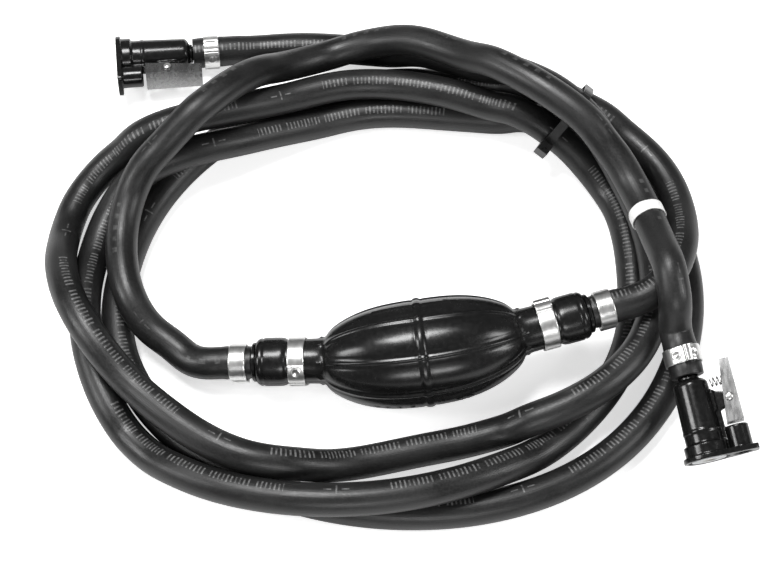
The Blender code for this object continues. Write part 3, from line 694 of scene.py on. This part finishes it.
def hose(node, path, run, look, clamps_near, clamps_far):
    """A hose with round ends, a bore that shows at its cut faces, and swollen rubber by its clamps."""
    slope = np.gradient(path, axis=0)
    clamps = [*clamps_near, *[run[-1] - c for c in clamps_far]]
    axes = [level_axes(p, s) for p, s in zip(path, slope)]
    deep = int(BORE_DEEP / HOSE_STEP)
    plan = [(k, BORE_R, 0.0) for k in range(deep, -1, -1)]
    plan += [(0, HOSE_R - EDGE_ROUND, 0.0), (0, HOSE_R - 0.2 * EDGE_ROUND, 0.3 * EDGE_ROUND)]
    plan += [(k, HOSE_R + pinched(run[k], clamps), 0.0) for k in range(1, len(path) - 1)]
    last = len(path) - 1
    plan += [(last, HOSE_R - 0.2 * EDGE_ROUND, -0.3 * EDGE_ROUND), (last, HOSE_R - EDGE_ROUND, 0.0)]
    plan += [(k, BORE_R, 0.0) for k in range(last, last - deep - 1, -1)]
    rings = [circle(axes[k], shift, r, HOSE_SIDES) for k, r, shift in plan]
    made = make_mesh(f"{node}_rubber", *skin(rings))
    add_places(made, [run[k] * MM for k, _, _ in plan])
    finish_piece(made, look, [node])


def add_places(made, along):
    """Store where each corner lies along and around the hose, for its finish."""
    runs = made.data.attributes.new("along", "FLOAT", "CORNER")
    turns = made.data.attributes.new("around", "FLOAT", "CORNER")
    corners = np.array([loop.vertex_index for loop in made.data.loops])
    runs.data.foreach_set("value", np.array(along)[corners // HOSE_SIDES])
    step = corners % HOSE_SIDES / HOSE_SIDES
    wraps = np.zeros(len(corners))
    for face in made.data.polygons:
        span = list(face.loop_indices)
        if max(step[span]) - min(step[span]) > 0.5 and len(span) == 4:
            wraps[[k for k in span if step[k] < 0.5]] = 1.0
    turns.data.foreach_set("value", step + wraps)


# ---------------------------------------------------------------- bulb


def bulb_radius(s):
    """The bulb's plain radius s millimetres from its middle: bulge, neck and rolled collar."""
    s = abs(s)
    if s >= COLLAR_FROM:
        share = (s - COLLAR_FROM) / (BULB_HALF - COLLAR_FROM)
        ring = 0.45 * math.exp(-(((s - 78.0) / 0.45) ** 2))
        return COLLAR_R - 1.4 * abs(2 * share - 1) ** 6 - ring
    if s >= BULGE_HALF:
        return NECK_R + 0.9 * math.exp(-(s - BULGE_HALF) / 1.8)
    return NECK_R + 0.9 + (BULGE_R - NECK_R - 0.9) * (1 - (s / BULGE_HALF) ** 2.6) ** 0.8


def bulb_relief(s, radius, angles):
    """The height of ribs, grooves, panels and marks at each angle round the bulb, at distance s."""
    pitch = 360 / RIB_COUNT
    off = (angles - RIB_FIRST + pitch / 2) % pitch - pitch / 2
    across = np.abs(np.radians(off)) * radius
    fade = float(np.clip((BULGE_HALF + 1.5 - abs(s)) / 5, 0, 1))
    rib = RIB_RISE * np.exp(-((across / RIB_HALF) ** 4))
    rib = rib - RIB_GROOVE * np.exp(-(((across - 2.3) / 0.6) ** 2))
    height = rib * fade
    height += PANEL_CROWN * fade * np.sin(np.radians(np.abs(off) / (pitch / 2) * 90)) ** 2
    band = EQUATOR_RISE * math.exp(-((abs(s) / EQUATOR_HALF) ** 6))
    band -= RIB_GROOVE * math.exp(-(((abs(s) - EQUATOR_HALF - 0.9) / 0.55) ** 2))
    height = np.maximum(height, 0) + band
    beyond = abs(s) - BULGE_HALF - NUB_BEYOND
    height += NUB_RISE * np.exp(-((across / 0.9) ** 2)) * math.exp(-((beyond / 0.9) ** 2))
    if abs(s) > BULGE_HALF:
        seam = np.abs((angles + 90) % 180 - 90)
        height += SEAM_RISE * np.exp(-((np.radians(seam) * radius / 0.35) ** 2))
    return height + bulb_marks(s, radius, angles)


def bulb_marks(s, radius, angles):
    """A raised flow arrow on the upper panel, and plain dots and an oval on the lower one."""
    arrow = np.radians(angles - (RIB_FIRST + 22.5)) * radius
    height = np.zeros_like(angles)
    if ARROW_FROM < s < ARROW_HEAD:
        height += ARROW_RISE * np.exp(-((arrow / 0.6) ** 4))
    if ARROW_HEAD <= s < ARROW_TO:
        half = 2.6 * (ARROW_TO - s) / (ARROW_TO - ARROW_HEAD)
        height += ARROW_RISE * np.clip((half - np.abs(arrow)) * 3, 0, 1)
    lower = np.radians(angles - (RIB_FIRST + 157.5)) * radius
    for dot in DOTS_AT:
        height += MARK_RISE * bump_at(np.abs(np.hypot(lower, s - dot) - 0.8), 0.5)
    oval = np.hypot(lower, (s - OVAL_AT) / 1.8)
    return height + MARK_RISE * bump_at(np.abs(oval - 1.9), 0.5)


def bulb(look):
    """The hollow bulb's outside, its open ends and the first stretch of its bore."""
    angles = np.linspace(0, 360, BULB_SIDES, endpoint=False)
    turns = np.radians(angles)
    bore = (BULB_HALF - 27, BULB_HALF - 14, BULB_HALF)
    rings = [circle(bulb_axes(-s), 0, BULB_BORE_R, BULB_SIDES) for s in bore]
    for s in np.arange(-BULB_HALF, BULB_HALF + BULB_STEP / 2, BULB_STEP):
        axes = bulb_axes(s)
        radius = bulb_radius(s) + bulb_relief(s, bulb_radius(s), angles)
        rings.append([axes.at(0, r * math.cos(a), r * math.sin(a)) for r, a in zip(radius, turns)])
    rings += [circle(bulb_axes(s), 0, BULB_BORE_R, BULB_SIDES) for s in reversed(bore)]
    made = make_mesh("bulb_rubber", *skin(rings), sharp=60)
    finish_piece(made, look, ["primer_bulb"], body=None)
    middle = bulb_axes(0)
    middle.at(0, 0, SQUEEZE_FROM)
    middle.at(0, 0, BULGE_R)
    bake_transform(made)


def barbs(start):
    """The profile of a hose stem's three barbs."""
    profile = []
    for k in range(3):
        x = start + BARB_PITCH * k
        profile += [(x, STEM_R), (x + BARB_LONG, BARB_R), (x + BARB_LONG + BARB_STEP, STEM_R)]
    return profile


def fitting(name, axes, look):
    """The hose fitting that closes one end of the bulb: barrel, flange and barbed stem."""
    rim = FLANGE_R - FLANGE_CORNER
    outer = [
        (-26, 7.4),
        (-25.7, 7.65),
        (FLANGE_FROM, 7.65),
        (FLANGE_FROM, rim),
        (FLANGE_FROM + FLANGE_CORNER, FLANGE_R),
        (FLANGE_TO - FLANGE_CORNER, FLANGE_R),
        (FLANGE_TO, rim),
        (FLANGE_TO, STEM_R),
        *barbs(5.3),
        (STEM_OUT, STEM_R),
    ]
    inner = [(STEM_OUT, STEM_BORE_R), (-6, STEM_BORE_R), (-6, 5.3), (-26, 5.3)]
    made = turned(f"{name}_fitting_body", axes, outer + inner, around=True)
    finish_piece(made, look, [f"{name}_fitting"])


# ---------------------------------------------------------------- clamps, tie and band


def facing(axes):
    """The angle round the axes that faces the camera."""
    rise = math.radians(CAMERA_ELEVATION)
    way = np.array((0, -math.cos(rise), math.sin(rise)))
    return math.degrees(math.atan2(way @ axes.z, way @ axes.y))


def clamp(node, axes, radius, ear, lap, dimples, folds, look):
    """A crimped steel band with a pinched ear, an overlapping strip, pressed dimples and fold lines.

    lap, dimples and folds are angles round the hose, measured from the side that faces the camera."""
    x0 = axial_middle(node, axes)
    front = facing(axes)
    across = sorted({*np.linspace(-1, 1, 33), -0.97, 0.97})
    rings = []
    for k in range(BAND_RINGS):
        angle = 360 * k / BAND_RINGS
        off = (angle - ear + 180) % 360 - 180
        seen = (angle - front + 180) % 360 - 180
        lift = EAR_RISE * float(np.clip((EAR_HALF - abs(off)) / 5, 0, 1)) ** 0.7
        height = lift - (0.5 * math.exp(-((off / 2.2) ** 2)) if abs(off) < EAR_HALF else 0.0)
        height += LAP_RISE * float(np.clip(min(seen - lap[0], lap[1] - seen) / 1.5, 0, 1))
        height -= sum(FOLD_DEEP * math.exp(-(((seen - fold) / 1.6) ** 2)) for fold in folds)
        ring = []
        for share in across:
            edge = 0.18 * max(0.0, (abs(share) - 0.9) / 0.1) ** 2
            dip = sum(dimple(math.radians(seen - d) * radius, share * BAND_HALF) for d in dimples)
            r = radius + BAND_THICK + height - edge - dip
            ring.append(polar(axes, x0 + share * BAND_HALF, r, angle))
        low = radius + 0.75 * lift
        ring += [polar(axes, x0 + share * BAND_HALF, low, angle) for share in reversed(across)]
        rings.append(ring)
    made = make_mesh(f"{node}_band", *skin(rings, around=True), sharp=50)
    finish_piece(made, look, [node])


def dimple(off, over):
    """The depth of a pressed round dimple with a raised rim."""
    reach = math.hypot(off, over)
    rim = DIMPLE_RIM * float(bump_at(reach - DIMPLE_R, 0.6))
    return DIMPLE_DEEP * float(bump_at(reach, DIMPLE_R)) - rim


def polar(axes, x, radius, degrees):
    a = math.radians(degrees)
    return axes.at(x, radius * math.cos(a), radius * math.sin(a))


def clamps(look):
    hose_r, neck_r = HOSE_R + BAND_ROOM, NECK_R + BAND_ROOM
    along = level_axes(INLET.o, -INLET.x)
    beyond = level_axes(OUTLET.o, OUTLET.x)
    clamp("inlet_neck_clamp", along, neck_r, -110, (8, 72), [25], [55, 66], look)
    clamp("outlet_neck_clamp", beyond, neck_r, 60, (100, 150), [], [80], look)
    clamp("inlet_hose_clamp", along, hose_r, -120, (-150, -100), [], [72], look)
    clamp("outlet_hose_clamp", beyond, hose_r, -120, (-150, -100), [], [70], look)
    clamp("engine_hose_clamp", ENGINE, hose_r, -70, (0, 60), [32], [8], look)
    clamp("tank_hose_clamp", TANK, hose_r, -70, (0, 62), [-27, 27], [0], look)


def id_band(centres, look):
    """The blank tape round the upper hose, with rounded edges and its overlapped end."""
    middle = vertices("id_band").mean(0)
    k = int(np.argmin(np.linalg.norm(centres - middle, axis=1)))
    axes = level_axes(centres[k], centres[min(k + 1, len(centres) - 1)] - centres[k - 1])
    rings = []
    for angle in range(0, 360, 2):
        over = HOSE_R + TAPE_OVER + (TAPE_LAP if (angle - 200) % 360 < 40 else 0.0)
        sway = 0.12 * math.sin(math.radians(angle * 3 + 40))
        sway += 0.06 * math.sin(math.radians(angle * 7))
        profile = rounded_ring(-TAPE_HALF, TAPE_HALF, HOSE_R + TAPE_UNDER, over, TAPE_CORNER)
        rings.append([polar(axes, x + sway * (1 if x > 0 else -1), r, angle) for x, r in profile])
    made = make_mesh("id_tape", *skin(rings, around=True))
    finish_piece(made, look, ["id_band"])


def cable_tie(look):
    """The tie keeps its node's course: its edges are rounded and its facets smoothed."""
    paint("cable_tie", look)
    soften("cable_tie", 0.35)
    FRAME["nodes"]["cable_tie"].data.shade_smooth()
    FRAME["nodes"]["cable_tie"].data.set_sharp_from_angle(angle=math.radians(50))


# ---------------------------------------------------------------- quick connectors


def face_outline():
    """The face plate's outline: a disc drawn out to a square-ended tab."""
    corner = TAB_REACH - TAB_CORNER
    points = arc((0, 0), FACE_R, 0, 354, 59)
    for side in (1, -1):
        points += arc((corner, side * (TAB_HALF - TAB_CORNER)), TAB_CORNER, 0, 90 * side, 8)
    return hull(points)


def plate(name, axes, outline, low, high):
    return prism(name, [[axes.at(x, y, z) for y, z in outline] for x in (low, high)])


def slab(name, axes, outline, low, high):
    return prism(name, [[axes.at(x, y, z) for x, y in outline] for z in (low, high)])


def web_outline():
    """The outline of the web between the barrels, with the ear that carries the lever's pin."""
    return [
        (FACE_THICK - 0.5, 0),
        (33.5, 0),
        (33.0, 8.0),
        (31.0, WEB_TOP),
        *arc((PIVOT_BACK, PIVOT_OUT), EAR_R, 0, 180, 16),
        (21.5, WEB_TOP),
        (FACE_THICK - 0.5, WEB_TOP),
    ]


def connector_body(name, axes, look):
    """The moulded body: face plate with its tab, barrel, latch barrel, web and hose stem."""
    made = plate(f"{name}_body", axes, face_outline(), 0, FACE_THICK)
    barrel = [(1.5, 10.5), (7.6, 10.5), (8.2, 9.0), (13, 9.0), (13.3, 9.25), (14.3, 9.25), (14.6, 9.0)]
    barrel += [(36.4, 8.3), (37.4, 8.0), (38.4, 7.0), (39, 5.6), (39, 5.0), (40.7, 5.0)]
    barrel += [(40.7, STEM_R), *barbs(43), (PLUG_STEM_END, STEM_R)]
    merge(made, turned("barrel", axes, barrel), "UNION")
    latch = [(1.5, 5.7), (12.9, 5.7), (13.4, 5.2)]
    merge(made, turned("latch", axes, latch, 48, LATCH_OFFSET), "UNION")
    merge(made, slab("web", axes, web_outline(), -WEB_HALF, WEB_HALF), "UNION")
    rib = [(20, 0), (34, 0), (31, 9.6), (22, 9.6)]
    merge(made, slab("rib", axes, rib, -3.2, 3.2), "UNION")
    cavity = [(-1, 9.9), (1.7, 9.9), (1.7, 8.6), (3.3, 8.6), (3.3, VALVE_CHAMBER_R)]
    cavity += [(22, VALVE_CHAMBER_R), (22, STEM_BORE_R), (PLUG_STEM_END + 1, STEM_BORE_R)]
    merge(made, turned("cavity", axes, cavity), "DIFFERENCE")
    bore = [(-1, LATCH_BORE_R), (LATCH_BORE_DEEP, LATCH_BORE_R)]
    merge(made, turned("bore", axes, bore, 48, LATCH_OFFSET), "DIFFERENCE")
    hole = arc((PIVOT_BACK, PIVOT_OUT), PIVOT_HOLE_R, 0, 360, 32)[:-1]
    merge(made, slab("hole", axes, hole, -WEB_HALF - 1, WEB_HALF + 1), "DIFFERENCE")
    remould(made, VOXEL, 3)
    finish_piece(made, look, [f"{name}_connector_body"])


def connector_port(name, axes, look):
    """The insert, its seal and the sprung plunger behind them."""
    insert = rounded_ring(0, 3, 3.5, 8.3, 0.3)
    made = turned(f"{name}_insert_ring", axes, insert, 96, around=True)
    finish_piece(made, look["insert"], [f"{name}_port_insert"])
    turns = np.linspace(0, math.tau, 16, endpoint=False)
    bead = [(0.85 + 0.55 * math.sin(a), 9.25 + 0.35 * math.cos(a)) for a in turns]
    made = turned(f"{name}_seal_ring", axes, bead, 96, around=True)
    finish_piece(made, look["seal"], [f"{name}_face_seal"])
    profile = [(0.6, 2.5), (0.9, 3.0), (1.2, 3.1), (3.6, 3.1)]
    profile += [(3.6, 4.5), (5.2, 4.5), (5.2, 1.5), (8.6, 1.5)]
    made = turned(f"{name}_plunger_tip", axes, profile, 64)
    finish_piece(made, look["brass"], [f"{name}_valve_plunger"], f"{name}_valve")
    wire = spring_wire(axes, 5.9, 21.4, 3.6, 6, 0.0, "x")
    made = make_mesh(f"{name}_valve_coil", *skin(wire))
    finish_piece(made, look["steel"], [f"{name}_valve_spring"], body=None)
    axes.at(21)
    axes.at(6)
    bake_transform(made)


def spring_wire(axes, start, stop, radius, turns, offset, along):
    """The rings of a round wire wound along the x axis, or along y at an offset."""
    steps = int(turns * 28)
    rings = []
    for k in range(steps + 1):
        share = k / steps
        angle = math.tau * turns * share
        run = start + (stop - start) * share
        ring = []
        for side in np.linspace(0, math.tau, 10, endpoint=False):
            reach = radius + WIRE_R * math.cos(side)
            place = run + WIRE_R * math.sin(side)
            a, b = offset + reach * math.cos(angle), reach * math.sin(angle)
            ring.append(axes.at(place, a, b) if along == "x" else axes.at(a, place, b))
        rings.append(ring)
    return rings


def connector_latch(name, axes, look):
    """The pressed lever, its riveted pin and its return spring."""
    lever = f"{name}_latch_lever"
    # The lever takes the darker copy of the plated steel: painted shade
    paint(lever, look["lever"])
    soften(lever, 0.28)
    pin = [(-7.3, 0.9), (-7.1, 1.6), (-6.7, 1.95), (-6.3, 1.95), (-6.3, PIVOT_R)]
    pin += [(-x, r) for x, r in reversed(pin)]
    across = Axes(axes.at(PIVOT_BACK, PIVOT_OUT), axes.z, axes.x)
    made = turned(f"{name}_pin", across, pin, 48)
    finish_piece(made, look["steel"], [f"{name}_latch_pin"])
    wire = spring_wire(axes, 9.3, 19.0, 2.0, 5, LATCH_SPRING_BACK, "y")
    made = make_mesh(f"{name}_latch_coil", *skin(wire))
    finish_piece(made, look["steel"], [f"{name}_latch_spring"], body=None)
    foot, head = axes.at(LATCH_SPRING_BACK, 9.5), axes.at(LATCH_SPRING_BACK, 19)
    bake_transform(made)


def connector(name, axes, look):
    connector_body(name, axes, look["plastic"])
    connector_port(name, axes, look)
    connector_latch(name, axes, look)


# ---------------------------------------------------------------- hidden valves


def valves(look):
    """The check valves inside the bulb's fittings."""
    for name, ring in (("inlet", "inlet_retainer"), ("outlet", "outlet_seat")):
        paint(ring, look["brass"])
        soften(ring, 0.15)
        paint(f"{name}_poppet", look["plastic"])
        soften(f"{name}_poppet", 0.2)
    spans = (("inlet", INLET, -8.55, -19.85), ("outlet", OUTLET, -17.95, -6.65))
    for name, axes, start, stop in spans:
        wire = spring_wire(axes, start, stop, 3.4, 5, 0.0, "x")
        made = make_mesh(f"{name}_valve_coil", *skin(wire))
        finish_piece(made, look["steel"], [f"{name}_spring"], body=None)
        axes.at(stop)
        axes.at(start)
        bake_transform(made)


# ---------------------------------------------------------------- floor, light and camera


def floor():
    ways = ((-1, -1), (1, -1), (1, 1), (-1, 1))
    corners = [(x * FLOOR_REACH_M, y * FLOOR_REACH_M, 0) for x, y in ways]
    made = make_mesh("floor", corners, [(0, 1, 2, 3)])
    tree = Tree("pale_floor")
    shade = tree.noise(8.0, 3.0)
    tree.feed(tree.shader.inputs["Base Color"], tree.mix(shade, (0.93, 0.93, 0.93), (0.96, 0.96, 0.96)))
    tree.shader.inputs["Roughness"].default_value = 0.9
    seen = tree.nodes.new("ShaderNodeLightPath").outputs["Is Camera Ray"]
    tree.shader.inputs["Emission Color"].default_value = (1, 1, 1, 1)
    tree.feed(tree.shader.inputs["Emission Strength"], tree.math("MULTIPLY", seen, FLOOR_GLOW))
    made.data.materials.append(tree.look)


def light(name, place, size, power):
    lamp = bpy.data.lights.new(name, "AREA")
    lamp.shape = "RECTANGLE"
    lamp.size, lamp.size_y = size
    lamp.energy = power
    made = bpy.data.objects.new(name, lamp)
    bpy.context.scene.collection.objects.link(made)
    made.location = place
    way = Vector(LIGHT_TARGET_M) - Vector(place)
    made.rotation_euler = way.to_track_quat("-Z", "Y").to_euler()


def studio():
    """A white surround that the camera sees, dimmer for the object, and soft lights round it."""
    world = bpy.data.worlds.new("studio")
    bpy.context.scene.world = world
    world.use_nodes = True
    nodes, links = world.node_tree.nodes, world.node_tree.links
    seen = nodes.new("ShaderNodeLightPath").outputs["Is Camera Ray"]
    level = nodes.new("ShaderNodeMapRange")
    level.inputs["To Min"].default_value = WORLD_DIM
    level.inputs["To Max"].default_value = 1.0
    links.new(seen, level.inputs["Value"])
    links.new(level.outputs[0], nodes["Background"].inputs["Strength"])
    nodes["Background"].inputs["Color"].default_value = (1, 1, 1, 1)
    for name, place, size, power in LIGHTS:
        light(name, place, size, power)
    bpy.context.scene.view_settings.view_transform = "Standard"


def camera():
    made = bpy.data.objects.new("camera", bpy.data.cameras.new("camera"))
    bpy.context.scene.collection.objects.link(made)
    rise = math.radians(CAMERA_ELEVATION)
    x, y, z = CAMERA_TARGET_M
    back = CAMERA_DISTANCE_M * math.cos(rise)
    made.location = (x, y - back, z + CAMERA_DISTANCE_M * math.sin(rise))
    made.rotation_euler = (math.pi / 2 - rise, 0, 0)
    made.data.lens = CAMERA_LENS
    made.data.clip_start = 0.01
    bpy.context.scene.camera = made


# ---------------------------------------------------------------- the scene

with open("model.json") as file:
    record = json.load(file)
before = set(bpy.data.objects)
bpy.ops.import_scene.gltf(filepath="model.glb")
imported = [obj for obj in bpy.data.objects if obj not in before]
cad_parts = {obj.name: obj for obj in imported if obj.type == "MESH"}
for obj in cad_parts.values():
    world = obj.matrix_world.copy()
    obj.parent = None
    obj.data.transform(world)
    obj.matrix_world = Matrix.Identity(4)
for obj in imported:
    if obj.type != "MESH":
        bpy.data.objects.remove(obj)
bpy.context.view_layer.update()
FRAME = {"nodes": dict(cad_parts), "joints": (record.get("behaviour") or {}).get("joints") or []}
INLET = end_axes("inlet", "inlet_retainer", -1)
OUTLET = end_axes("outlet", "outlet_seat", 1)
ENGINE = connector_axes("engine")
TANK = connector_axes("tank")


def main():
    look = looks()
    leads = [lead(axes, BULB_HOSE_START) for axes in (OUTLET, INLET)]
    plugs = [lead(axes, PLUG_HOSE_START) for axes in (ENGINE, TANK)]
    engine_path, engine_run = fine_course(course("engine_hose", leads[0], plugs[0]))
    tank_path, tank_run = fine_course(course("tank_hose", leads[1], plugs[1]))
    pinches = [BULB_CLAMP_AT], [PLUG_CLAMP_AT]
    hose("engine_hose", engine_path, engine_run, look["engine_hose"], *pinches)
    hose("tank_hose", tank_path, tank_run, look["tank_hose"], *pinches)
    bulb(look["bulb"])
    fitting("inlet", INLET, look["plastic"])
    fitting("outlet", OUTLET, look["plastic"])
    clamps(look["steel"])
    id_band(tank_path, look["band"])
    cable_tie(look["tie"])
    connector("engine", ENGINE, look)
    connector("tank", TANK, look)
    valves(look)
    floor()
    studio()
    camera()


main()
